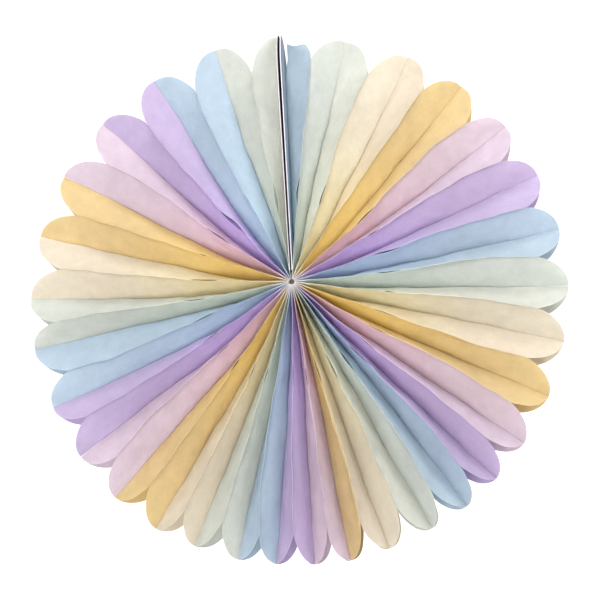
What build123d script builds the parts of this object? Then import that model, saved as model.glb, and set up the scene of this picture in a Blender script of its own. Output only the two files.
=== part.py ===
from build123d import *
import math
import os

# Paper fan rosette: a stack of identical round-ended paper leaves, glued to one
# another in turn along the middle and along both long edges, bound at the inner
# edge and opened through a full circle.  Two stiff cover cards close the circle.
#
# Frame: the disc stands upright in XZ, its front faces -Y, the hub axis is Y and
# the origin is the middle of the hub.  Azimuths are degrees from +Z towards +X.

# ---------------------------------------------------------------- dimensions
leaf_reach = 200.0        # hub axis to the tip of every leaf
leaf_half_width = 27.0    # centre line of a leaf to either long edge, laid flat
round_start = 163.5       # where the straight long edges end and the round end starts
glue_end = 175.6          # where the edge glue ends: the notch between two lobes
paper = 0.15              # leaf thickness
valley_glue = 1.0         # half width of the glue line down the middle of a leaf
ridge_glue = 1.5          # width of the glue line along each long edge
core_radius = 3.0         # bound inner edges of the leaves
core_half_length = 22.0   # along Y
card = 0.8                # cover card thickness
card_start = 8.6          # inner edge of the cover cards
card_bow_start = 150.0    # the cards run straight to here, then curve together
card_splay = 0.9          # each card's distance from the seam plane at card_bow_start
open_leaf_start = 9.4     # inner edge of the two leaves glued to the cards
double_start = 4.6        # inner edge of the two leaves that stuck together
double_edge = 0.8         # how far the hidden one of the two stands out of its ridge

# Creases at the middle of the lobes, clockwise from the seam at the top.
valleys = [11.1, 25.6, 39.0, 52.2, 65.0, 77.9, 90.5, 102.4, 114.3, 125.3,
           134.5, 142.5, 150.9, 160.5, 168.7, 176.0, 183.8, 191.8, 201.2, 210.1,
           220.9, 232.4, 244.6, 258.2, 269.6, 283.7, 298.0, 312.5, 327.0, 342.0]
# Glued edges at the notches between the lobes.
ridges = [4.1, 18.8, 33.0, 46.7, 59.5, 72.3, 84.7, 97.0, 109.0, 120.2,
          130.2, 138.8, 147.2, 155.8, 164.6, 172.1, 179.7, 187.3, 196.0, 205.1,
          215.1, 225.7, 237.8, 250.5, 262.4, 276.0, 290.2, 304.9, 319.5, 334.3,
          349.3]
seam = -3.9               # the plane where the two cover cards meet
double_panel = 29         # the opened leaf, counted from the seam, that is two stuck together

colours = ["blue", "green", "cream", "yellow", "pink", "purple"]
# Distances from the hub axis at which the cross-section of a leaf is drawn, and
# how long the paper keeps to the direction of its glue lines there: an S near the
# hub, close to a plain V at the round ends.
stations = [2.7, 30.0, 70.0, 115.0, 150.0, glue_end, 203.0]
folds = [0.40, 0.40, 0.37, 0.27, 0.19, 0.11, 0.05]


# ---------------------------------------------------------------- leaf shape
def bezier(p, n=24):
    pts = []
    for i in range(n + 1):
        s = i / n
        a, b, c, d = (1 - s) ** 3, 3 * s * (1 - s) ** 2, 3 * s * s * (1 - s), s ** 3
        pts.append((a * p[0][0] + b * p[1][0] + c * p[2][0] + d * p[3][0],
                    a * p[0][1] + b * p[1][1] + c * p[2][1] + d * p[3][1]))
    return pts


def length(pts):
    return sum(math.dist(a, b) for a, b in zip(pts, pts[1:]))


def fold_at(d):
    if d <= stations[0]:
        return folds[0]
    for (d0, f0), (d1, f1) in zip(zip(stations, folds), list(zip(stations, folds))[1:]):
        if d <= d1:
            return f0 + (f1 - f0) * (d - d0) / (d1 - d0)
    return folds[-1]


def arm(across, height, fold):
    """Middle of the paper from the valley glue to the ridge glue: it leaves both
    glue lines square to the disc and crosses between them."""
    k = fold * height
    return [(0, 0), (0, k), (across, height - k), (across, height)]


def arm_height(across, fold):
    """Height of the arm when its length is what the flat leaf leaves for it."""
    want = leaf_half_width - valley_glue - ridge_glue
    low, high = 0.0, want
    for _ in range(40):
        mid = (low + high) / 2
        if length(bezier(arm(across, mid, fold))) < want:
            low = mid
        else:
            high = mid
    return low


def section(u_valley, u_ridge, height, fold, layers, layer):
    """The closed outline of one leaf across the fan.  u runs from the plane of
    the valley to the plane of the ridge; the leaf touches both and crosses
    neither.  Where two leaves stuck together, each takes its half of the pile.
    Points of the near half (positive y), mirrored for the other."""
    pile = layers * paper
    across = u_ridge - u_valley - pile
    k = fold * height
    lean = math.tan(math.atan2(across, height - 2 * k) / 2)
    y0, y1 = valley_glue, valley_glue + height

    def face(o):
        a, b = u_valley + pile / 2 + o, u_ridge - pile / 2 + o
        return [(a, y0), (a, y0 + k - o * lean), (b, y1 - k - o * lean), (b, y1)]

    outer = face(-pile / 2 + layer * paper)
    inner = face(-pile / 2 + (layer + 1) * paper)
    return inner, outer, y1 + ridge_glue


def leaf(valley_az, ridge_az, next_az, valley_offset=0.0, next_offset=0.0, start=None,
         layers=1, layer=0, edge_out=0.0):
    """One folded-out leaf between the plane of its valley and the plane of its
    ridge.  valley_offset holds it off a cover card.  next_az is the valley on the
    far side of the ridge: the two leaves glued in a ridge stand equally high."""
    mid = math.radians((valley_az + ridge_az) / 2)
    half = math.radians(abs(ridge_az - valley_az) / 2)
    side = 1 if ridge_az > valley_az else -1
    out = (math.sin(mid), 0, math.cos(mid))
    across = (side * math.cos(mid), 0, -side * math.sin(mid))
    first = stations[0] if start is None else start

    def limits(d):
        return -d * math.tan(half) + valley_offset / math.cos(half), d * math.tan(half)

    def height(d):
        d = min(d, glue_end)
        lo, hi = limits(d)
        other = 2 * d * math.tan(math.radians(abs(next_az - ridge_az) / 2)) - next_offset
        return (arm_height(hi - lo - paper, fold_at(d)) + arm_height(other - paper, fold_at(d))) / 2

    rows = [first] + [d for d in stations[1:] if d > first + 5]
    with BuildPart() as sheet:
        for d in rows:
            lo, hi = limits(d)
            inner, outer, top = section(lo, hi, height(d), fold_at(d), layers, layer)
            top += edge_out
            with BuildSketch(Plane(origin=(out[0] * d, 0, out[2] * d), x_dir=across, z_dir=out)):
                with BuildLine():
                    Line((outer[0][0], -valley_glue), (outer[0][0], valley_glue))
                    Bezier(*outer)
                    Line(outer[3], (outer[3][0], top))
                    Line((outer[3][0], top), (inner[3][0], top))
                    Line((inner[3][0], top), inner[3])
                    Bezier(*reversed(inner))
                    Line(inner[0], (inner[0][0], -inner[0][1]))
                    Bezier(*[(x, -y) for x, y in inner])
                    Line((inner[3][0], -inner[3][1]), (inner[3][0], -top))
                    Line((inner[3][0], -top), (outer[3][0], -top))
                    Line((outer[3][0], -top), (outer[3][0], -outer[3][1]))
                    Bezier(*[(x, -y) for x, y in reversed(outer)])
                make_face()
        loft()
        # The round outer end, drawn as it looks once the leaf is spread.
        edge = []
        for i in range(0, 13):
            a = math.radians(90 * i / 12)
            d = round_start + (leaf_reach - round_start) * math.sin(a)
            flat = leaf_half_width * math.cos(a)
            lo, hi = limits(d)
            line = bezier(arm(hi - lo - paper, height(d), fold_at(d)), 200)
            line = [(x, y + valley_glue) for x, y in line]
            if flat <= valley_glue:
                y = flat
            else:
                left, y = flat - valley_glue, None
                for p, q in zip(line, line[1:]):
                    step = math.dist(p, q)
                    if left <= step:
                        y = p[1] + (q[1] - p[1]) * left / step
                        break
                    left -= step
                if y is None:
                    y = line[-1][1] + min(left, ridge_glue)
            edge.append((d, y))
        edge[-1] = (leaf_reach, 0.0)
        top = edge[0][1] + 0.4 + edge_out
        edge[0] = (round_start, top)
        wide = leaf_half_width + 1
        with BuildSketch(Plane(origin=(0, 0, 0), x_dir=out, z_dir=across)):
            with BuildLine():
                Line((0, -wide), (0, wide))
                Line((0, wide), (round_start, wide))
                Line((round_start, wide), edge[0])
                Spline(*(edge + [(d, -y) for d, y in reversed(edge[:-1])]))
                Line((round_start, -top), (round_start, -wide))
                Line((round_start, -wide), (0, -wide))
            make_face()
        extrude(amount=40, both=True, mode=Mode.INTERSECT)
        if start is None:
            with BuildSketch(Plane.XZ):
                Circle(core_radius)
            extrude(amount=40, both=True, mode=Mode.SUBTRACT)
    return sheet.part


def flat_outline(first):
    """Outline of an unspread leaf or card in its own plane: out along x."""
    pts = []
    for i in range(0, 13):
        a = math.radians(90 * i / 12)
        pts.append((round_start + (leaf_reach - round_start) * math.sin(a),
                    leaf_half_width * math.cos(a)))
    return pts


def bowed_plate(near, far, side):
    """A plate beside the seam plane, between two distances from the cards' inner
    face: straight to card_bow_start, then curving back so the cards' inner faces
    meet at the tip."""
    out = (math.sin(math.radians(seam)), 0, math.cos(math.radians(seam)))
    across = (side * math.cos(math.radians(seam)), 0, -side * math.sin(math.radians(seam)))
    slope = math.atan2(card_splay, card_bow_start)
    # Arc tangent to the straight run at P and ending at Q on the seam plane.
    px, py = card_bow_start, card_splay
    qx, qy = leaf_reach + 0.5, -0.001
    chord = math.dist((px, py), (qx, qy))
    turn = slope - math.atan2(qy - py, qx - px)
    radius = chord / (2 * math.sin(turn))
    cx, cy = px + radius * math.sin(slope), py - radius * math.cos(slope)

    def at(r, ang):
        return (cx + r * math.sin(ang), cy + r * math.cos(ang))

    a0, a1 = -slope, -slope + 2 * turn
    r0, r1 = radius + near, radius + far
    # Start of the straight run, square to the seam plane.
    s0 = (card_start, card_splay * card_start / card_bow_start + near / math.cos(slope))
    s1 = (card_start, card_splay * card_start / card_bow_start + far / math.cos(slope))
    with BuildPart() as plate:
        with BuildSketch(Plane(origin=(0, 0, 0), x_dir=out, z_dir=(0, side, 0))):
            with BuildLine():
                Line(s0, at(r0, a0))
                ThreePointArc(at(r0, a0), at(r0, (a0 + a1) / 2), at(r0, a1))
                Line(at(r0, a1), at(r1, a1))
                ThreePointArc(at(r1, a1), at(r1, (a0 + a1) / 2), at(r1, a0))
                Line(at(r1, a0), s1)
                Line(s1, s0)
            make_face()
        extrude(amount=leaf_half_width, both=True)
        end = flat_outline(card_start)
        end[-1] = (leaf_reach, 0.0)
        with BuildSketch(Plane(origin=(0, 0, 0), x_dir=out, z_dir=across)):
            with BuildLine():
                Line((0, -leaf_half_width), (0, leaf_half_width))
                Line((0, leaf_half_width), end[0])
                Spline(*(end + [(x, -y) for x, y in reversed(end[:-1])]),
                       tangents=[(1, 0), (-1, 0)])
                Line((end[0][0], -leaf_half_width), (0, -leaf_half_width))
            make_face()
        extrude(amount=10, both=True, mode=Mode.INTERSECT)
    return plate.part


# ---------------------------------------------------------------- the stack
# Leaves are numbered round the fan: 0 lies flat on the right-hand card, 1 spans
# from the seam to the first ridge, and so on to 63 beside the left-hand card.
slope_of_card = math.atan2(card_splay, card_bow_start)
stack = [bowed_plate(card, card + paper, 1)]
splay = math.degrees(slope_of_card)
on_right = card + paper   # what stands between the seam and the first opened leaf
creases = [seam]
for ridge, valley in zip(ridges, valleys + [seam + 360]):
    creases += [ridge, valley]
for i in range(62):
    a, b = creases[i], creases[i + 1]
    valley_az, ridge_az = (a, b) if i % 2 == 0 else (b, a)
    next_az = creases[i + 2] if i % 2 == 0 else creases[i - 1]
    offset = next_offset = 0.0
    start = None
    if i == 0:
        valley_az, offset, start = valley_az + splay, on_right, open_leaf_start
    if i == 1:
        next_offset = on_right
    if i == 60:
        next_offset = card
    if i == 61:
        valley_az, offset, start = valley_az - splay, card, open_leaf_start
    if i == double_panel:
        stack.append(leaf(valley_az, ridge_az, next_az, start=double_start,
                          layers=2, layer=1, edge_out=double_edge))
        stack.append(leaf(valley_az, ridge_az, next_az, start=double_start, layers=2, layer=0))
    else:
        stack.append(leaf(valley_az, ridge_az, next_az, offset, next_offset, start))

os.makedirs("parts", exist_ok=True)

# Two neighbouring leaves of one colour share a node, as the coloured sheets
# repeat in twos through the stack.
for n in range(32):
    first, second = stack[2 * n], stack[2 * n + 1]
    pair = Compound(children=list(first.solids()) + list(second.solids()))
    pair.label = "leaves_%02d_%s" % (n + 1, colours[n % 6])
    export_step(pair, "parts/%s.step" % pair.label)

right_card = bowed_plate(0, card, 1)
right_card.label = "cover_card_right"
export_step(right_card, "parts/cover_card_right.step")

left_card = bowed_plate(0, card, -1)
left_card.label = "cover_card_left"
export_step(left_card, "parts/cover_card_left.step")

# Glue and thread that hold the inner edges: a round core, with a wedge that
# reaches out to the inner edges of the two cover cards.
with BuildPart() as binding:
    with BuildSketch(Plane.XZ):
        Circle(core_radius)
        a, b = math.radians(ridges[-1] - 360), math.radians(ridges[0])
        s = math.radians(seam)
        ra, rb = card_start / math.cos(a - s), card_start / math.cos(b - s)
        with BuildLine():
            Polyline((0, 0), (ra * math.sin(a), ra * math.cos(a)),
                     (rb * math.sin(b), rb * math.cos(b)), close=True)
        make_face()
    extrude(amount=core_half_length, both=True)
binding.part.label = "hub_binding"
export_step(binding.part, "parts/hub_binding.step")
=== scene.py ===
import math

import bpy
import numpy as np
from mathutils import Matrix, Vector


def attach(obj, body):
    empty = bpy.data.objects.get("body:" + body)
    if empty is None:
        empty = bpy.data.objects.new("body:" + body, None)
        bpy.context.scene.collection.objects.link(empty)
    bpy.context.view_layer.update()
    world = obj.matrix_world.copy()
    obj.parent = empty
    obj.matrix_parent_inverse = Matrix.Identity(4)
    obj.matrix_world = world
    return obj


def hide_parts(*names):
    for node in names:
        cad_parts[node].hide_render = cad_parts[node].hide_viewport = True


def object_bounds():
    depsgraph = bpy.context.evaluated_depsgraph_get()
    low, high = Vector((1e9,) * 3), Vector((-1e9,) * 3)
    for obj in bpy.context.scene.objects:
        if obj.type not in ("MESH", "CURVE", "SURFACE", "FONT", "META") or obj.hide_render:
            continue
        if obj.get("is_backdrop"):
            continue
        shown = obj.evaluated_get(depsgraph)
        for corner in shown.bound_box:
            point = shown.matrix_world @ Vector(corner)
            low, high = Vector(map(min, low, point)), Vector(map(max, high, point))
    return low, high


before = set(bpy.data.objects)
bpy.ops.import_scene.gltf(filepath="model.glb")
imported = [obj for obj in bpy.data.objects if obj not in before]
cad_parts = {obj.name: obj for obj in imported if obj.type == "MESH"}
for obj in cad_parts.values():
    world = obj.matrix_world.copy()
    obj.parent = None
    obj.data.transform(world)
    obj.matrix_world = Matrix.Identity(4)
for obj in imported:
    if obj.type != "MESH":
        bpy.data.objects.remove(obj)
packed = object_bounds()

MM = 0.001

# ------------------------------------------------------------------ the fan, in mm
HALF_WIDTH = 27.0         # centre line of a leaf to its long edge
REACH = 200.0
GLUE_END = 175.6
VALLEY_GLUE = 1.0
RIDGE_GLUE = 1.5
PAPER = 0.15
SEAM = -3.3
CARD = 0.6
DOUBLE = 30               # the opened leaf that is two leaves stuck together

# azimuth of every valley crease and how far out its tip reaches
VALLEYS = [(11.1, 199.7), (25.6, 200.9), (39.0, 200.7), (52.2, 199.9),
           (65.0, 199.0), (77.9, 199.1), (90.5, 199.7), (102.4, 199.4), (114.3, 200.1),
           (125.3, 200.6), (134.5, 201.0), (142.5, 201.5), (150.9, 200.6), (160.5, 201.0),
           (168.7, 201.5), (176.0, 200.6), (183.8, 200.1), (191.8, 200.5), (201.2, 200.0),
           (210.1, 201.0), (220.9, 200.1), (232.4, 198.7), (244.6, 198.3), (258.2, 199.2),
           (269.6, 199.7), (283.7, 200.0), (298.0, 201.5), (312.5, 201.8), (327.0, 202.3), (342.0, 203.2)]
# azimuth of every glued ridge and the radius of the notch at its end
RIDGES = [(4.1, 178.0), (18.8, 172.1), (33.0, 175.5), (46.7, 175.0), (59.5, 175.8),
          (72.3, 177.5), (84.7, 176.7), (97.0, 175.3), (109.0, 175.3), (120.2, 176.8),
          (130.2, 176.4), (138.8, 176.6), (147.2, 177.0), (155.8, 176.4), (164.6, 176.1),
          (172.1, 178.6), (179.7, 177.4), (187.3, 177.6), (196.0, 176.6), (205.1, 176.9),
          (215.1, 175.7), (225.7, 175.6), (237.8, 174.9), (250.5, 174.9), (262.4, 176.6),
          (276.0, 174.2), (290.2, 173.8), (304.9, 173.0), (319.5, 173.0), (334.3, 173.1),
          (349.3, 170.5)]
# sideways wander of each crease off its straight line: (radius, offset), clockwise positive
VALLEY_WANDER = {
    1: [(62, -2.4), (82, -2.4), (121, -1.1)], 2: [(60, .8), (79, 0), (118, 1.0)],
    3: [(58, .7), (77, .7), (115, .3)], 4: [(56, -.2), (75, 0), (112, .7), (150, .5)],
    5: [(54, -.8), (73, -.4), (110, -.3)], 6: [(53, -.6), (71, -.5), (108, -.4)],
    7: [(70, -.4), (107, -.4), (143, -.5)], 8: [(51, -.5), (69, -1.0), (106, -1.8), (142, -1.3)],
    9: [(50, .8), (69, .5), (106, .7), (142, .3)], 10: [(50, .5), (69, .2), (106, .2)],
    11: [(50, .2), (105, -.1)], 12: [(50, -1.2), (69, -1.5), (106, -1.6), (142, -.7)],
    13: [(69, -.7), (106, -.4), (142, .6)], 14: [(69, 0), (106, .1), (142, .9)],
    15: [(51, -.6), (69, -1.0), (106, -1.2), (142, .2)], 16: [(51, -1.2), (69, -1.6), (106, -1.0), (142, -.4)],
    17: [(70, -.4), (107, -.7), (143, -.4)], 18: [(51, -1.0), (70, -1.6), (107, -1.3), (143, -.2)],
    19: [(52, -1.0), (71, -1.0), (107, -1.2)], 20: [(53, -.7), (71, -1.4), (108, -.4)],
    21: [(53, -1.4), (72, -2.0), (109, -.3)], 22: [(54, -1.6), (73, -2.0), (110, -.4), (146, .4)],
    23: [(56, -2.2), (74, -2.6), (111, -2.1), (148, -1.3)], 24: [(58, -.4), (76, 0), (114, .9), (151, .7)],
    25: [(40, -1.4), (78, -3.2), (116, -2.6), (154, -1.4)], 26: [(61, -1.3), (80, -.6), (119, -.9), (157, -.6)],
    27: [(63, -1.4), (82, -1.3), (121, -.7), (161, .7)], 28: [(64, -2.8), (84, -2.5), (124, -1.7), (164, -.2)],
    29: [(65, -3.6), (85, -4.0), (125, -2.4), (166, .3)], 30: [(65, 1.3), (85, .3), (125, -1.3), (166, -.3)],
}
RIDGE_WANDER = {
    1: [(70, -.4), (115, .5), (156, 1.0)], 2: [(70, .5), (113, -3.2), (153, -2.1)],
    3: [(111, .5), (150, .6)], 4: [(72, 1.8), (109, -1.5), (147, -2.7)],
    5: [(72, -.6), (108, -2.2), (145, -3.2)], 6: [(71, .8), (107, -1.2), (144, -1.1)],
    7: [(69, 1.0), (107, -1.2), (143, -3.4)], 8: [(72, .8), (107, -1.4), (143, -1.4)],
    9: [(72, 1.1), (108, 1.9), (143, 2.2)], 10: [(72, .9), (108, -2.1), (144, -1.7)],
    11: [(73, .9), (109, -.8), (144, -1.4)], 12: [(74, .3), (110, -1.8), (145, -2.6)],
    13: [(73, -1.0), (110, -2.2), (145, -2.2)], 14: [(73, -.5), (110, -2.1), (146, -1.2)],
    15: [(70, -.6), (111, -1.1), (146, -1.3)], 16: [(72, -1.3), (120, -1.2)],
    17: [(72, -.8), (120, .6)], 18: [(72, 1.6), (110, 3.2), (146, 3.4)],
    19: [(74, -1.6), (130, -1.0)], 20: [(74, -2.4), (130, -1.4)], 21: [(74, -2.2), (145, -1.6)],
    22: [(70, -.4), (109, 1.6), (145, 2.6)], 23: [(70, -2.2), (109, -3.2), (146, -1.9)],
    24: [(71, -1.8), (110, -3.2), (147, -3.8)], 25: [(72, -2.4), (148, .2)],
    26: [(66, -3.6), (112, -2.8), (151, -1.3)], 27: [(71, -1.6), (114, -1.1), (154, -.3)],
    28: [(69, -1.7), (115, 2.4), (156, 2.0)], 29: [(68, -3.4), (116, -3.3), (158, -2.8)],
    30: [(76, -2.0), (117, -3.4), (159, -2.5)], 31: [(68, .5), (116, -2.0), (158, -1.5)],
}
# unglued stretches of the ridges: (start, end, half opening)
SLITS = {1: (57, 82, .55), 2: (60, 80, .5), 4: (63, 83, .5), 5: (62, 76, .25), 6: (61, 85, .5),
         7: (60, 82, .35), 8: (66, 76, .25), 9: (63, 83, .4), 10: (63, 81, .3), 11: (65, 81, .35),
         12: (62, 87, .45), 13: (60, 86, .6), 14: (58, 86, .55), 15: (56, 84, .4), 16: (64, 80, .3),
         17: (62, 78, .15), 19: (64, 80, .2), 20: (64, 82, .2), 21: (66, 80, .4), 22: (62, 80, .15),
         23: (62, 80, .2), 24: (60, 80, .5), 25: (62, 84, .35), 26: (53, 77, .5), 27: (66, 73, .2),
         28: (54, 78, .6), 29: (52, 78, 1.0), 30: (68, 76, .3), 31: (52, 78, .7)}
# leaves bent by handling: (leaf, radius, height of the kink)
KINKS = {46: (84, -.7), 47: (86, .6), 48: (88, -.8), 49: (84, .5), 50: (88, -.9), 51: (116, .8),
         52: (86, .9), 53: (114, -.9), 54: (88, -.9), 55: (116, .8), 56: (84, .8), 57: (118, -.8),
         58: (88, -.7), 59: (114, .7), 26: (96, .5), 33: (100, -.5), 37: (92, .4), 3: (120, .5)}

COLOURS = ["blue", "green", "cream", "yellow", "pink", "purple"]


def rng(*seed):
    return np.random.default_rng([7, *seed])


def on_circle(az, r):
    return np.stack([r * np.sin(az), r * np.cos(az)], -1)


def wander(points, r, end, seed, size):
    pts = [(0, 0), (18, points[0][1] * .25 if points else 0), *points, (end, 0), (260, 0)]
    fine = np.linspace(0, 260, 521)
    off = np.interp(fine, [p[0] for p in pts], [p[1] for p in pts])
    kernel = np.hanning(33)
    kernel /= kernel.sum()
    off = np.convolve(np.pad(off, 16, mode="edge"), kernel, mode="valid")
    g = rng(seed)
    window = np.clip(fine / 40, 0, 1) * np.clip((end + 6 - fine) / 30, 0.15, 1)
    for wave in (58, 37, 24, 15):
        off += size * g.uniform(.3, 1) * (wave / 58) ** 1.2 * window * np.sin(
            2 * math.pi * fine / (wave * g.uniform(.85, 1.15)) + g.uniform(0, 6.28))
    return np.interp(r, fine, off)


def crease_az(kind, k, r):
    """Azimuth in radians of crease k at radii r. Valley 0 and 31 are the seam."""
    if kind == "valley":
        if k in (0, 31):
            return np.full_like(r, math.radians(SEAM + (360 if k else 0)))
        base = math.radians(VALLEYS[k - 1][0])
        off = wander(VALLEY_WANDER.get(k, []), r, VALLEYS[k - 1][1], 100 + k, .32)
    else:
        base = math.radians(RIDGES[k - 1][0])
        off = wander(RIDGE_WANDER.get(k, []), r, RIDGES[k - 1][1], 200 + k, .42)
    return base + off / np.maximum(r, 12)


def bezier(across, height, fold, n=49):
    s = np.linspace(0, 1, n)[None, :]
    k = (fold * height)[:, None]
    h = height[:, None]
    c = across[:, None]
    u = 3 * s * s * (1 - s) * c + s ** 3 * c
    y = 3 * s * (1 - s) ** 2 * k + 3 * s * s * (1 - s) * (h - k) + s ** 3 * h
    step = np.hypot(np.diff(u, axis=1), np.diff(y, axis=1))
    run = np.concatenate([np.zeros((len(across), 1)), np.cumsum(step, 1)], 1)
    return u, y, run


def ease(a, b, r):
    t = np.clip((r - a) / (b - a), 0, 1)
    return t * t * (3 - 2 * t)


def fold_at(r):
    """How long the paper keeps to the glue's direction: an S near the hub, a
    plain V at the free round ends."""
    return .40 - .20 * ease(45, 125, r) - .13 * ease(112, 168, r) - .05 * ease(165, 190, r)


def valley_glue(r):
    return VALLEY_GLUE - .85 * ease(70, 165, r)


_c = np.linspace(0, 27, 109)
_k = np.linspace(0, .4, 9)
_free = HALF_WIDTH - VALLEY_GLUE - RIDGE_GLUE


def _solve(fold):
    low, high = np.zeros_like(_c), np.full_like(_c, _free)
    for _ in range(40):
        mid = (low + high) / 2
        long = bezier(_c, mid, np.full_like(_c, fold))[2][:, -1] < _free
        low, high = np.where(long, mid, low), np.where(long, high, mid)
    return np.maximum(low, 5.5)


_h = np.stack([_solve(k) for k in _k])


def arm_height(across, fold):
    x = np.clip(across / 27 * 108, 0, 107.999)
    y = np.clip(fold / .4 * 8, 0, 7.999)
    i, j = x.astype(int), y.astype(int)
    x, y = x - i, y - j
    return ((_h[j, i] * (1 - x) + _h[j, i + 1] * x) * (1 - y)
            + (_h[j + 1, i] * (1 - x) + _h[j + 1, i + 1] * x) * y)


def spacing(valley, ridge, r, gap=0.0):
    return np.abs(crease_az("ridge", ridge, r) - crease_az("valley", valley, r)) * r - gap - PAPER


def ridge_height(k, r):
    """Height of ridge k over the middle plane, shared by the two leaves glued in it."""
    q = np.minimum(r, RIDGES[k - 1][1])
    left = spacing(k - 1, k, q, 1.0 if k == 1 else 0.0)
    right = spacing(k, k, q, 1.0 if k == 31 else 0.0)
    fold = fold_at(q)
    return (arm_height(left, fold) + arm_height(right, fold)) / 2


def slit(k, r):
    if k not in SLITS:
        return np.zeros_like(r)
    a, b, g = SLITS[k]
    t = np.clip((r - a) / (b - a), 0, 1)
    return 1.3 * max(g, .28) * np.sin(math.pi * t ** .8) ** 1.2


def leaf_surface(i, r, s, layer=0):
    """Points in mm of leaf i (1 to 62 by visible panel) at radii r (rows) and arc
    lengths s (rows x columns). layer 1 is the hidden one of the stuck pair."""
    side = 1 if i % 2 else -1          # 1: the ridge lies clockwise of the valley
    ridge = (i + 1) // 2
    valley = ridge - 1 if side == 1 else ridge
    av, ar = crease_az("valley", valley, r), crease_az("ridge", ridge, r)
    pv, pr = on_circle(av, r), on_circle(ar, r)
    across = pr - pv
    c = np.hypot(across[:, 0], across[:, 1])
    dirn = across / np.maximum(c, 1e-6)[:, None]
    off = np.zeros_like(r)
    if i == 1:                          # held off the seam by a card and the leaf on it
        off = .40 + r * .0036 + CARD + PAPER + .1 + 2.6 * np.clip((r - 160) / 24, 0, 1) ** 1.6
    if i == 62:
        off = .40 + np.minimum(r, 150) * .0036 + CARD + .1 - .1 * np.clip((r - 150) / 45, 0, 1) ** 2
    off = np.minimum(off, .45 * c)
    pile = PAPER * (1 if layer else 0), PAPER * (1 if i == DOUBLE and not layer else 0)
    lo = np.minimum(off + PAPER / 2, .3 * c + off * .5) + pile[0]
    height = ridge_height(ridge, r)
    end = RIDGES[ridge - 1][1]
    fold = fold_at(r)
    a = np.abs(s)
    sign = np.sign(s) + (s == 0)
    gv = valley_glue(r)[:, None]
    uu, yy = np.empty_like(s), np.empty_like(s)
    # the glue has let go here and there along the front edge only
    for rear, lip in ((0, slit(ridge, r)), (1, np.zeros_like(r))):
        hi = np.maximum(c - PAPER / 2 - pile[1] - lip, .6 * c)
        u, y, run = bezier(hi - lo, height, fold)
        at_end = bezier(np.interp([end], r, hi - lo), np.interp([end], r, height), fold_at(np.array([end])))[2][0, -1]
        scale = np.where(r <= end, run[:, -1], at_end)
        want = np.clip((a - gv) / (_free + VALLEY_GLUE - gv), 0, 1) * scale[:, None]
        for j in range(len(r)):
            here = (s[j] > 0) == bool(rear)
            uu[j, here] = np.interp(want[j, here], run[j], u[j])
            yy[j, here] = np.interp(want[j, here], run[j], y[j])
    yy = yy + np.minimum(a, gv) + np.clip(a - (HALF_WIDTH - RIDGE_GLUE), 0, RIDGE_GLUE)
    uu = uu + lo[:, None]
    x = pv[:, None, 0] + dirn[:, None, 0] * uu
    z = pv[:, None, 1] + dirn[:, None, 1] * uu
    return np.stack([x, sign * yy, z], -1)


def grid_normals(p):
    du = np.gradient(p, axis=0)
    dv = np.gradient(p, axis=1)
    n = np.cross(du, dv)
    return n / np.maximum(np.linalg.norm(n, axis=-1, keepdims=True), 1e-9)


def creasing(i, r, s, b):
    """Soft dents, faint cockles and the kinks left by handling, off the surface."""
    g = rng(i, 3)
    a = np.abs(s)
    hold = np.clip((a - VALLEY_GLUE) / 5, 0, 1) * np.clip((HALF_WIDTH - RIDGE_GLUE - a) / 4, 0, 1)
    loose = np.clip((r - 168) / 18, 0, 1)[:, None]
    hold = np.maximum(hold, loose * np.clip((a - VALLEY_GLUE) / 6, 0, 1))
    hold = hold * np.clip(r / 50, 0, 1)[:, None]
    rr = r[:, None]
    out = np.zeros_like(s)
    for wave, size in ((74, .42), (49, .34), (33, .22), (22, .13), (13, .06), (8, .03)):
        for _ in range(2):
            tilt = g.uniform(-.9, .9)
            w = wave * g.uniform(.8, 1.25)
            out += size * g.uniform(.4, 1) * np.sin(
                2 * math.pi * (rr * math.cos(tilt) + s * math.sin(tilt) * 1.4) / w + g.uniform(0, 6.28))
    out *= .75
    if i in KINKS:
        at, high = KINKS[i]
        line = at + .35 * (s - 12 * np.sign(s)) * (1 if i % 2 else -1)
        out += high * 1.3 * np.exp(-np.abs(rr - line) / 4.5)
    return out * hold


def column_spread(n):
    t = np.linspace(0, 1, n)
    q = t - .55 * np.sin(2 * math.pi * t) / (2 * math.pi)
    return np.concatenate([-q[::-1], q[1:]])


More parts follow.
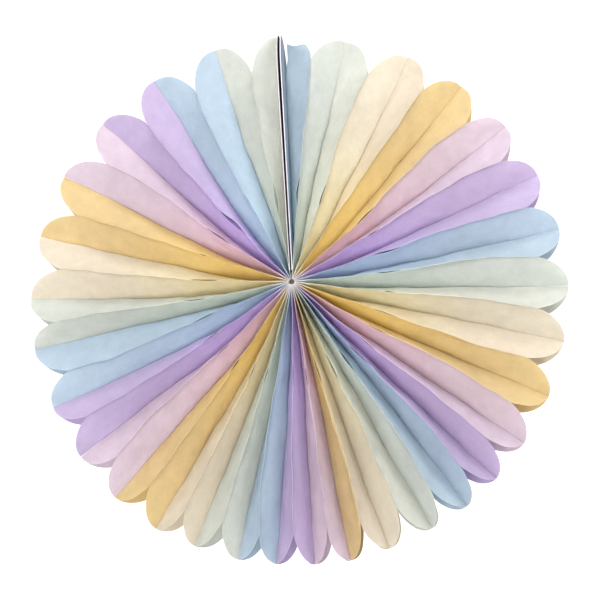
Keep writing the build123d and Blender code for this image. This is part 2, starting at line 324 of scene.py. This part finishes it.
def plate(name, front, back, uv, rim, material, node, crease=False, shade=None):
    """A closed thin sheet from two grids of points in mm."""
    rows, cols = front.shape[:2]
    n = rows * cols
    pts = np.concatenate([front.reshape(-1, 3), back.reshape(-1, 3)]) * MM
    idx = np.arange(n).reshape(rows, cols)
    a, b, c, d = idx[:-1, :-1], idx[1:, :-1], idx[1:, 1:], idx[:-1, 1:]
    top = np.stack([a, b, c, d], -1).reshape(-1, 4)
    low = np.stack([a, d, c, b], -1).reshape(-1, 4) + n
    loop = np.concatenate([idx[0, :], idx[1:, -1], idx[-1, -2::-1], idx[-2:0:-1, 0]])
    nxt = np.roll(loop, -1)
    edge = np.stack([loop, nxt, nxt + n, loop + n], -1)
    faces = np.concatenate([top, low, edge])
    me = bpy.data.meshes.new(name)
    me.from_pydata([tuple(v) for v in pts.tolist()], [], [tuple(f) for f in faces.tolist()])
    smooth = np.ones(len(faces), dtype=bool)
    smooth[len(top) + len(low):] = False
    me.polygons.foreach_set("use_smooth", smooth)
    both = np.concatenate([uv.reshape(-1, 2), uv.reshape(-1, 2)])
    layer = me.uv_layers.new(name="sheet")
    ids = np.empty(len(me.loops), dtype=np.int32)
    me.loops.foreach_get("vertex_index", ids)
    layer.data.foreach_set("uv", both[ids].astype(np.float32).ravel())
    att = me.attributes.new("rim", "FLOAT", "POINT")
    att.data.foreach_set("value", np.concatenate([rim.ravel(), rim.ravel()]).astype(np.float32))
    if shade is None:
        shade = np.zeros(2 * n)
    shaded = me.attributes.new("shade", "FLOAT", "POINT")
    shaded.data.foreach_set("value", np.asarray(shade).astype(np.float32).ravel())
    # painted bounce light: weight of the lighter, stronger tint, full out to 35 mm from the centre and gone by 150 mm
    painted_bounce_weight = me.attributes.new("inner", "FLOAT", "POINT")
    far = np.hypot(pts[:, 0], pts[:, 2]) / MM
    painted_bounce_weight.data.foreach_set("value", (1 - ease(35, 150, far)).astype(np.float32))
    me.materials.append(material)
    me.update(calc_edges=True)
    if crease:                          # the fold down the middle of a leaf is sharp
        ends = np.empty(2 * len(me.edges), dtype=np.int32)
        me.edges.foreach_get("vertices", ends)
        ends = ends.reshape(-1, 2) % n
        mid = (ends % cols == cols // 2).all(1) & (ends // cols > 12).all(1)
        sharp = me.attributes.new("sharp_edge", "BOOLEAN", "EDGE")
        sharp.data.foreach_set("value", mid)
    ob = bpy.data.objects.new(name, me)
    bpy.context.scene.collection.objects.link(ob)
    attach(ob, "root")
    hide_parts(node)
    return ob


# ------------------------------------------------------------------ materials
def node(tree, kind, **values):
    n = tree.nodes.new(kind)
    for key, value in values.items():
        if hasattr(n, key):
            setattr(n, key, value)
        else:
            n.inputs[key].default_value = value
    return n


def srgb(r, g, b):
    return tuple(((v / 255) / 12.92 if v / 255 <= .04045 else (((v / 255) + .055) / 1.055) ** 2.4)
                 for v in (r, g, b)) + (1.0,)


def paper(name, colour, bounce_colour, through=.6, seed=0.0):
    """Thin coloured craft paper: cloudy fibre, a fine tooth, paler cut edges, and
    light that comes through from the far side. Painted bounce light makes the colour lighter and
    stronger near the hub, and painted shade darkens opened glue lines and the thin edges near the hub."""
    m = bpy.data.materials.new(name)
    m.use_nodes = True
    t = m.node_tree
    t.nodes.clear()
    link = t.links.new
    uv = node(t, "ShaderNodeUVMap", uv_map="sheet")
    move = node(t, "ShaderNodeMapping")
    move.inputs["Location"].default_value = (seed, seed * .37, 0)
    link(uv.outputs["UV"], move.inputs["Vector"])
    cloud = node(t, "ShaderNodeTexNoise")
    cloud.inputs["Scale"].default_value = 95
    cloud.inputs["Detail"].default_value = 5
    cloud.inputs["Roughness"].default_value = .62
    link(move.outputs["Vector"], cloud.inputs["Vector"])
    fibre_map = node(t, "ShaderNodeMapping")
    fibre_map.inputs["Scale"].default_value = (260, 1500, 1)
    fibre_map.inputs["Rotation"].default_value = (0, 0, .08)
    link(uv.outputs["UV"], fibre_map.inputs["Vector"])
    fibre = node(t, "ShaderNodeTexNoise")
    fibre.inputs["Scale"].default_value = 1
    fibre.inputs["Detail"].default_value = 3
    fibre.inputs["Distortion"].default_value = .6
    link(fibre_map.outputs["Vector"], fibre.inputs["Vector"])
    tooth = node(t, "ShaderNodeTexNoise")
    tooth.inputs["Scale"].default_value = 1900
    tooth.inputs["Detail"].default_value = 2
    link(move.outputs["Vector"], tooth.inputs["Vector"])

    mix1 = node(t, "ShaderNodeMapRange")
    mix1.inputs["From Min"].default_value = .3
    mix1.inputs["From Max"].default_value = .7
    mix1.inputs["To Min"].default_value = .94
    mix1.inputs["To Max"].default_value = 1.04
    link(cloud.outputs["Fac"], mix1.inputs["Value"])
    mix2 = node(t, "ShaderNodeMapRange")
    mix2.inputs["From Min"].default_value = .3
    mix2.inputs["From Max"].default_value = .7
    mix2.inputs["To Min"].default_value = .97
    mix2.inputs["To Max"].default_value = 1.03
    link(fibre.outputs["Fac"], mix2.inputs["Value"])
    both = node(t, "ShaderNodeMath", operation="MULTIPLY")
    link(mix1.outputs["Result"], both.inputs[0])
    link(mix2.outputs["Result"], both.inputs[1])
    tone = node(t, "ShaderNodeMix", data_type="RGBA", blend_type="MULTIPLY")
    tone.inputs["Factor"].default_value = 1.0
    # painted bounce light: towards the hub the paper's own colour is blended into a lighter, stronger tint
    where = node(t, "ShaderNodeAttribute", attribute_name="inner")
    bounce_tint = node(t, "ShaderNodeMix", data_type="RGBA")
    bounce_tint.inputs["A"].default_value = srgb(*colour)
    bounce_tint.inputs["B"].default_value = srgb(*bounce_colour)
    link(where.outputs["Fac"], bounce_tint.inputs["Factor"])
    link(bounce_tint.outputs["Result"], tone.inputs["A"])
    link(both.outputs["Value"], tone.inputs["B"])
    # cut edges and handled rims are a little paler
    rim = node(t, "ShaderNodeAttribute", attribute_name="rim")
    worn = node(t, "ShaderNodeMath", operation="MULTIPLY")
    link(rim.outputs["Fac"], worn.inputs[0])
    link(cloud.outputs["Fac"], worn.inputs[1])
    pale = node(t, "ShaderNodeMix", data_type="RGBA")
    link(worn.outputs["Value"], pale.inputs["Factor"])
    link(tone.outputs["Result"], pale.inputs["A"])
    lighter = [v + (255 - v) * .6 for v in colour]
    pale.inputs["B"].default_value = srgb(*lighter)

    # painted shadow: where the shade attribute is set, inside an opened glue line and along the thin edges near the
    # hub, the paper is painted near black for camera rays only
    shade = node(t, "ShaderNodeAttribute", attribute_name="shade")
    seen = node(t, "ShaderNodeLightPath")
    dark = node(t, "ShaderNodeMath", operation="MULTIPLY")
    link(shade.outputs["Fac"], dark.inputs[0])
    link(seen.outputs["Is Camera Ray"], dark.inputs[1])
    painted_shadow_mix = node(t, "ShaderNodeMix", data_type="RGBA")
    painted_shadow_mix.inputs["B"].default_value = srgb(26, 20, 24)
    link(dark.outputs["Value"], painted_shadow_mix.inputs["Factor"])
    link(pale.outputs["Result"], painted_shadow_mix.inputs["A"])

    bump1 = node(t, "ShaderNodeBump")
    bump1.inputs["Strength"].default_value = .35
    bump1.inputs["Distance"].default_value = .0002
    link(tooth.outputs["Fac"], bump1.inputs["Height"])
    bump2 = node(t, "ShaderNodeBump")
    bump2.inputs["Strength"].default_value = .75
    bump2.inputs["Distance"].default_value = .0009
    link(cloud.outputs["Fac"], bump2.inputs["Height"])
    link(bump1.outputs["Normal"], bump2.inputs["Normal"])
    rough = node(t, "ShaderNodeMapRange")
    rough.inputs["To Min"].default_value = .78
    rough.inputs["To Max"].default_value = .98
    link(cloud.outputs["Fac"], rough.inputs["Value"])

    body = node(t, "ShaderNodeBsdfPrincipled")
    body.inputs["Specular IOR Level"].default_value = .22
    body.inputs["Sheen Weight"].default_value = .06
    body.inputs["Sheen Roughness"].default_value = .6
    link(painted_shadow_mix.outputs["Result"], body.inputs["Base Color"])
    link(rough.outputs["Result"], body.inputs["Roughness"])
    link(bump2.outputs["Normal"], body.inputs["Normal"])
    glow = node(t, "ShaderNodeBsdfTranslucent")
    link(painted_shadow_mix.outputs["Result"], glow.inputs["Color"])
    link(bump2.outputs["Normal"], glow.inputs["Normal"])
    mix = node(t, "ShaderNodeMixShader")
    mix.inputs["Fac"].default_value = through
    link(body.outputs["BSDF"], mix.inputs[1])
    link(glow.outputs["BSDF"], mix.inputs[2])
    out = node(t, "ShaderNodeOutputMaterial")
    link(mix.outputs["Shader"], out.inputs["Surface"])
    return m


# each paper's own colour, then the lighter, stronger tint painted near the hub as bounce light between the folds
PAPERS = {
    "blue": ((203, 216, 226), (217, 231, 240)), "green": ((223, 225, 219), (236, 239, 231)),
    "cream": ((232, 225, 211), (246, 239, 214)), "yellow": ((231, 214, 169), (247, 232, 170)),
    "pink": ((227, 215, 224), (242, 226, 238)), "purple": ((214, 200, 224), (229, 216, 243)),
}
papers = {n: paper("paper_" + n, *c, seed=.11 * k) for k, (n, c) in enumerate(PAPERS.items())}


def board(name):
    """Grey-white card, dark on the faces that look into the seam."""
    m = bpy.data.materials.new(name)
    m.use_nodes = True
    t = m.node_tree
    link = t.links.new
    body = next(n for n in t.nodes if n.type == "BSDF_PRINCIPLED")
    att = node(t, "ShaderNodeAttribute", attribute_name="rim")
    where = node(t, "ShaderNodeTexCoord")
    grain = node(t, "ShaderNodeTexNoise")
    grain.inputs["Scale"].default_value = 420
    grain.inputs["Detail"].default_value = 4
    link(where.outputs["Object"], grain.inputs["Vector"])
    spread = node(t, "ShaderNodeMapRange")
    spread.inputs["From Min"].default_value = .3
    spread.inputs["From Max"].default_value = .7
    spread.inputs["To Min"].default_value = .9
    spread.inputs["To Max"].default_value = 1.08
    link(grain.outputs["Fac"], spread.inputs["Value"])
    raw = node(t, "ShaderNodeMix", data_type="RGBA")
    raw.inputs["A"].default_value = srgb(38, 30, 40)
    raw.inputs["B"].default_value = srgb(226, 216, 222)
    link(att.outputs["Fac"], raw.inputs["Factor"])
    tone = node(t, "ShaderNodeMix", data_type="RGBA", blend_type="MULTIPLY")
    tone.inputs["Factor"].default_value = 1.0
    link(raw.outputs["Result"], tone.inputs["A"])
    link(spread.outputs["Result"], tone.inputs["B"])
    link(tone.outputs["Result"], body.inputs["Base Color"])
    body.inputs["Roughness"].default_value = .8
    body.inputs["Specular IOR Level"].default_value = .25
    bump = node(t, "ShaderNodeBump")
    bump.inputs["Strength"].default_value = .4
    bump.inputs["Distance"].default_value = .0002
    link(grain.outputs["Fac"], bump.inputs["Height"])
    link(bump.outputs["Normal"], body.inputs["Normal"])
    return m


card_board = board("cover_card")


# ------------------------------------------------------------------ the leaves
def outline(tip, start, blunt=2.0, n_long=44, n_end=13, first=2.2):
    """Row radii and half widths of a leaf cut with a rounded end."""
    long = np.linspace(first, start, n_long)
    a = np.radians(np.linspace(0, 88, n_end + 1)[1:])
    r = start + (tip - start) * np.sin(a) ** (2 / blunt)
    b = HALF_WIDTH * np.cos(a) ** (2 / blunt)
    return np.concatenate([long, r]), np.concatenate([np.full(n_long, HALF_WIDTH), b])


def rim_mask(r, s, b, tip):
    a = np.abs(s)
    side = .5 * np.clip(1 - (b[:, None] - a) / .7, 0, 1) * np.clip((r - 60) / 60, 0, 1)[:, None]
    side = np.maximum(side, np.clip((a - 8) / 14, 0, 1) * 2 * (1 - ease(6, 17, r))[:, None])
    end = np.clip(1 - (tip - r)[:, None] / 1.1, 0, 1) * np.ones_like(s)
    return np.maximum(side, end)


COLUMNS = column_spread(17)


def make_leaf(stack_index, i, layer=0):
    ridge = (i + 1) // 2
    valley = ridge - 1 if i % 2 else ridge
    tip = VALLEYS[valley - 1][1] if 1 <= valley <= 30 else 203.0
    notch = RIDGES[ridge - 1][1]
    start = (notch - .329 * tip) / .671
    blunt = 2.15
    first = 2.2
    if i == 1:
        tip, first = 196.5, 9.4
    if i == 62:
        first = 9.4
    g = rng(i, 9)
    if i == DOUBLE:
        first = 4.6
    r, b = outline(tip, start, blunt, first=first)
    if i == 1:                         # this one's end is creased down square
        r = np.concatenate([np.linspace(first, 177.5, 44), [180, 182.5, 185, 187.5, 189.5, 191, 192, 192.3,
                                                            192.6, 193.4, 194.6, 195.7, 196.4]])
        b = np.interp(r, [0, 178, 182.5, 187.5, 191, 192, 192.3, 192.6, 193.6, 195.2, 196.5],
                      [27, 27, 25.6, 23, 20.6, 18.3, 13, 8.6, 6, 3, .8])
    s = b[:, None] * COLUMNS[None, :]
    p = leaf_surface(i, r, s, layer)
    n = grid_normals(p)
    p = p + n * creasing(i, r, s, b)[..., None]
    # the free round ends lean and curl a little
    loose = np.clip((r - 172) / 26, 0, 1)[:, None] ** 2
    p[..., 1] += loose * (g.uniform(-.9, .9) + g.uniform(-.02, .02) * s)
    if layer:                          # its front edge leans out of the ridge, past its twin
        out = ease(72, 112, r) * (1 - ease(162, 186, r)) * (1 + .22 * np.sin(r / 9 + .6))
        az = crease_az("ridge", ridge, r)
        for column, part in ((0, 1.0), (1, .35)):
            p[:, column, 0] += 1.25 * part * out * np.cos(az) * -1
            p[:, column, 2] += 1.25 * part * out * -np.sin(az) * -1
            p[:, column, 1] -= .75 * part * out
    n = grid_normals(p)
    # painted shade: the two faces that look into an opened glue line, and the thin edges near the hub, get the
    # near-black tone
    toward = 1 if i % 2 else -1
    av = crease_az("valley", valley, r)
    dirn = np.stack([np.cos(av), 0 * av, -np.sin(av)], -1) * toward
    facing = (n[:, s.shape[1] // 2] * dirn).sum(-1).mean() > 0
    slit_shadow = np.zeros_like(s)
    if ridge in SLITS:
        lo, hi, _ = SLITS[ridge]
        span = ease(lo - 2, lo + 3, r) * (1 - ease(hi - 3, hi + 2, r))
        slit_shadow = .97 * span[:, None] * np.clip((-s - 12) / 4, 0, 1) * (s > -b[:, None] + .01)
    # painted shade on the outermost columns near the hub, at .4 strength
    edges = np.zeros_like(s)
    edges[:, 0] = edges[:, -1] = .4 * ease(9, 20, r) * (1 - ease(50, 85, r))
    shade = np.stack([np.maximum(slit_shadow, edges), edges] if facing else [edges, np.maximum(slit_shadow, edges)])
    colour = COLOURS[(stack_index // 2) % 6]
    uv = np.stack([r[:, None] * np.ones_like(s) * MM + stack_index * .31, s * MM + .1 * stack_index], -1)
    plate("leaf_%02d_%s" % (stack_index, colour), p + n * PAPER / 2, p - n * PAPER / 2, uv,
          rim_mask(r, s, b, tip), papers[colour],
          "leaves_%02d_%s" % (stack_index // 2 + 1, colour), crease=True, shade=shade)


def seam_frame():
    a = math.radians(SEAM)
    return np.array([math.sin(a), 0, math.cos(a)]), np.array([math.cos(a), 0, -math.sin(a)])


def card_profile(r, near):
    """Distance from the seam plane of a face that lies `near` outside the card's
    inner face: straight to r = 150, then curving back a little."""
    bend = np.clip((r - 150) / 50, 0, 1)
    return .40 + np.minimum(r, 150) * .0036 + near - .15 * bend ** 2


def make_card(side):
    out, across = seam_frame()
    r, b = outline(REACH + 2.2, 163.5, first=8.6)
    s = b[:, None] * COLUMNS[None, :]
    lo, hi = card_profile(r, 0), card_profile(r, CARD)
    base = r[:, None, None] * out + s[..., None] * np.array([0, 1.0, 0])
    inner = base + side * lo[:, None, None] * across
    outer = base + side * hi[:, None, None] * across
    uv = np.stack([r[:, None] * np.ones_like(s) * MM, s * MM], -1)
    name = "card_right" if side == 1 else "card_left"
    front, back = (inner, outer) if side == 1 else (outer, inner)
    ob = plate(name, front, back, uv, np.zeros_like(s), card_board,
               "cover_card_right" if side == 1 else "cover_card_left")
    # the outer face takes the board colour and the inner face the dark; along the cut edges the inner side goes only
    # part way to board colour, so the edges are darker towards the hub and darker on the left card
    me = ob.data
    att = me.attributes["rim"]
    n = s.size
    v = np.zeros(2 * n, dtype=np.float32)
    if side == 1:
        v[n:] = 1
    else:
        v[:n] = 1
    edge = np.zeros_like(s)
    edge[:, 0] = edge[:, -1] = np.interp(r, [8, 60, 110, 160, 202], [.10, .2, .42, .56, .42]) * (1 if side == 1 else .62)
    edge[-1, :] = .6
    e = np.concatenate([edge.ravel(), edge.ravel()])
    att.data.foreach_set("value", np.maximum(v, e).astype(np.float32))
    return ob


def make_laminated():
    """Leaf 0 lies flat on the right-hand card."""
    out, across = seam_frame()
    r, b = outline(REACH + 1.0, 163.5, first=8.8)
    s = b[:, None] * COLUMNS[None, :] * 1.012
    lo = card_profile(r, CARD + .02)
    hi = card_profile(r, CARD + PAPER + .05)
    base = r[:, None, None] * out + s[..., None] * np.array([0, 1.0, 0])
    uv = np.stack([r[:, None] * np.ones_like(s) * MM, s * MM], -1)
    plate("leaf_00_blue", base + lo[:, None, None] * across, base + hi[:, None, None] * across, uv,
          rim_mask(r, s, b, REACH), papers["blue"], "leaves_01_blue")


make_laminated()
stack = 1
for panel in range(1, 63):
    if panel == DOUBLE:
        make_leaf(stack, panel, 1)
        stack += 1
    make_leaf(stack, panel)
    stack += 1
make_card(1)
make_card(-1)

# ------------------------------------------------------------------ the hub
glue = bpy.data.materials.new("hub_glue")
glue.use_nodes = True
gt = glue.node_tree
gb = next(n for n in gt.nodes if n.type == "BSDF_PRINCIPLED")
gn = node(gt, "ShaderNodeTexNoise")
gn.inputs["Scale"].default_value = 900
gc = node(gt, "ShaderNodeTexCoord")
gt.links.new(gc.outputs["Object"], gn.inputs["Vector"])
gm = node(gt, "ShaderNodeMix", data_type="RGBA")
gm.inputs["A"].default_value = srgb(48, 40, 38)
gm.inputs["B"].default_value = srgb(112, 100, 94)
gt.links.new(gn.outputs["Fac"], gm.inputs["Factor"])
gt.links.new(gm.outputs["Result"], gb.inputs["Base Color"])
gb.inputs["Roughness"].default_value = .6
gbump = node(gt, "ShaderNodeBump")
gbump.inputs["Distance"].default_value = .0004
gt.links.new(gn.outputs["Fac"], gbump.inputs["Height"])
gt.links.new(gbump.outputs["Normal"], gb.inputs["Normal"])
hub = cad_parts["hub_binding"]
hub.data.materials.clear()
hub.data.materials.append(glue)

# ------------------------------------------------------------------ floor, light, camera
floor_mat = bpy.data.materials.new("studio_floor")
floor_mat.use_nodes = True
fb = next(n for n in floor_mat.node_tree.nodes if n.type == "BSDF_PRINCIPLED")
fb.inputs["Base Color"].default_value = (.9, .9, .9, 1)
fb.inputs["Roughness"].default_value = .9
bpy.ops.mesh.primitive_plane_add(size=12, location=(0, 0, -1.3))
floor = bpy.context.object
floor.name = "studio_floor"
floor.data.materials.append(floor_mat)
floor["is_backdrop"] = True

world = bpy.data.worlds.new("studio")
world.use_nodes = True
background = world.node_tree.nodes["Background"]
background.inputs["Color"].default_value = (1, 1, 1, 1)
rays = world.node_tree.nodes.new("ShaderNodeLightPath")
level = world.node_tree.nodes.new("ShaderNodeMapRange")
level.inputs["To Min"].default_value = .26    # what the room adds to the light
level.inputs["To Max"].default_value = 1.4    # the plain white behind
world.node_tree.links.new(rays.outputs["Is Camera Ray"], level.inputs["Value"])
world.node_tree.links.new(level.outputs["Result"], background.inputs["Strength"])
bpy.context.scene.world = world


def area(name, at, aim, size, watts, colour=(1, 1, 1)):
    data = bpy.data.lights.new(name, "AREA")
    data.shape = "DISK"
    data.size = size
    data.energy = watts
    data.color = colour
    ob = bpy.data.objects.new(name, data)
    ob.location = at
    ob.rotation_euler = (Vector(aim) - Vector(at)).to_track_quat("-Z", "Y").to_euler()
    bpy.context.scene.collection.objects.link(ob)
    return ob


area("key", (0, -2.0, .25), (0, 0, 0), 1.1, 31.5)
area("left", (-2.2, -2.2, .2), (0, 0, 0), 1.2, 15)
area("right_high", (.9, -1.0, .6), (0, 0, 0), .9, 12.5)
area("overhead", (0, -.8, 1.8), (0, 0, 0), .9, 19)
area("low", (-.2, -1.8, -1.2), (0, 0, 0), 1.0, 33.5)
area("behind", (0, 1.8, .3), (0, 0, 0), 1.2, 23)

# pale paper lit from both sides passes light on many times in the folds
bpy.context.scene.cycles.diffuse_bounces = 8

F_PX = 1556.2
cam_data = bpy.data.cameras.new("camera")
cam_data.sensor_width = 36
cam_data.lens = 36 * F_PX / 600
cam = bpy.data.objects.new("camera", cam_data)
cam.location = (.11512, -1.10792, -.28602)
aim = Vector((.00325, .0020, -.00663))
cam.rotation_euler = (aim - cam.location).to_track_quat("-Z", "Y").to_euler()
bpy.context.scene.collection.objects.link(cam)
bpy.context.scene.camera = cam
bpy.context.scene.view_settings.view_transform = "Standard"

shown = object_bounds()


def plain(value):
    if isinstance(value, dict):
        return {k: plain(v) for k, v in value.items()}
    if isinstance(value, (list, tuple, Vector)):
        return [plain(v) for v in value]
    return float(value) if hasattr(value, "__float__") else value


{"packed": plain(packed), "shown": plain(shown)}
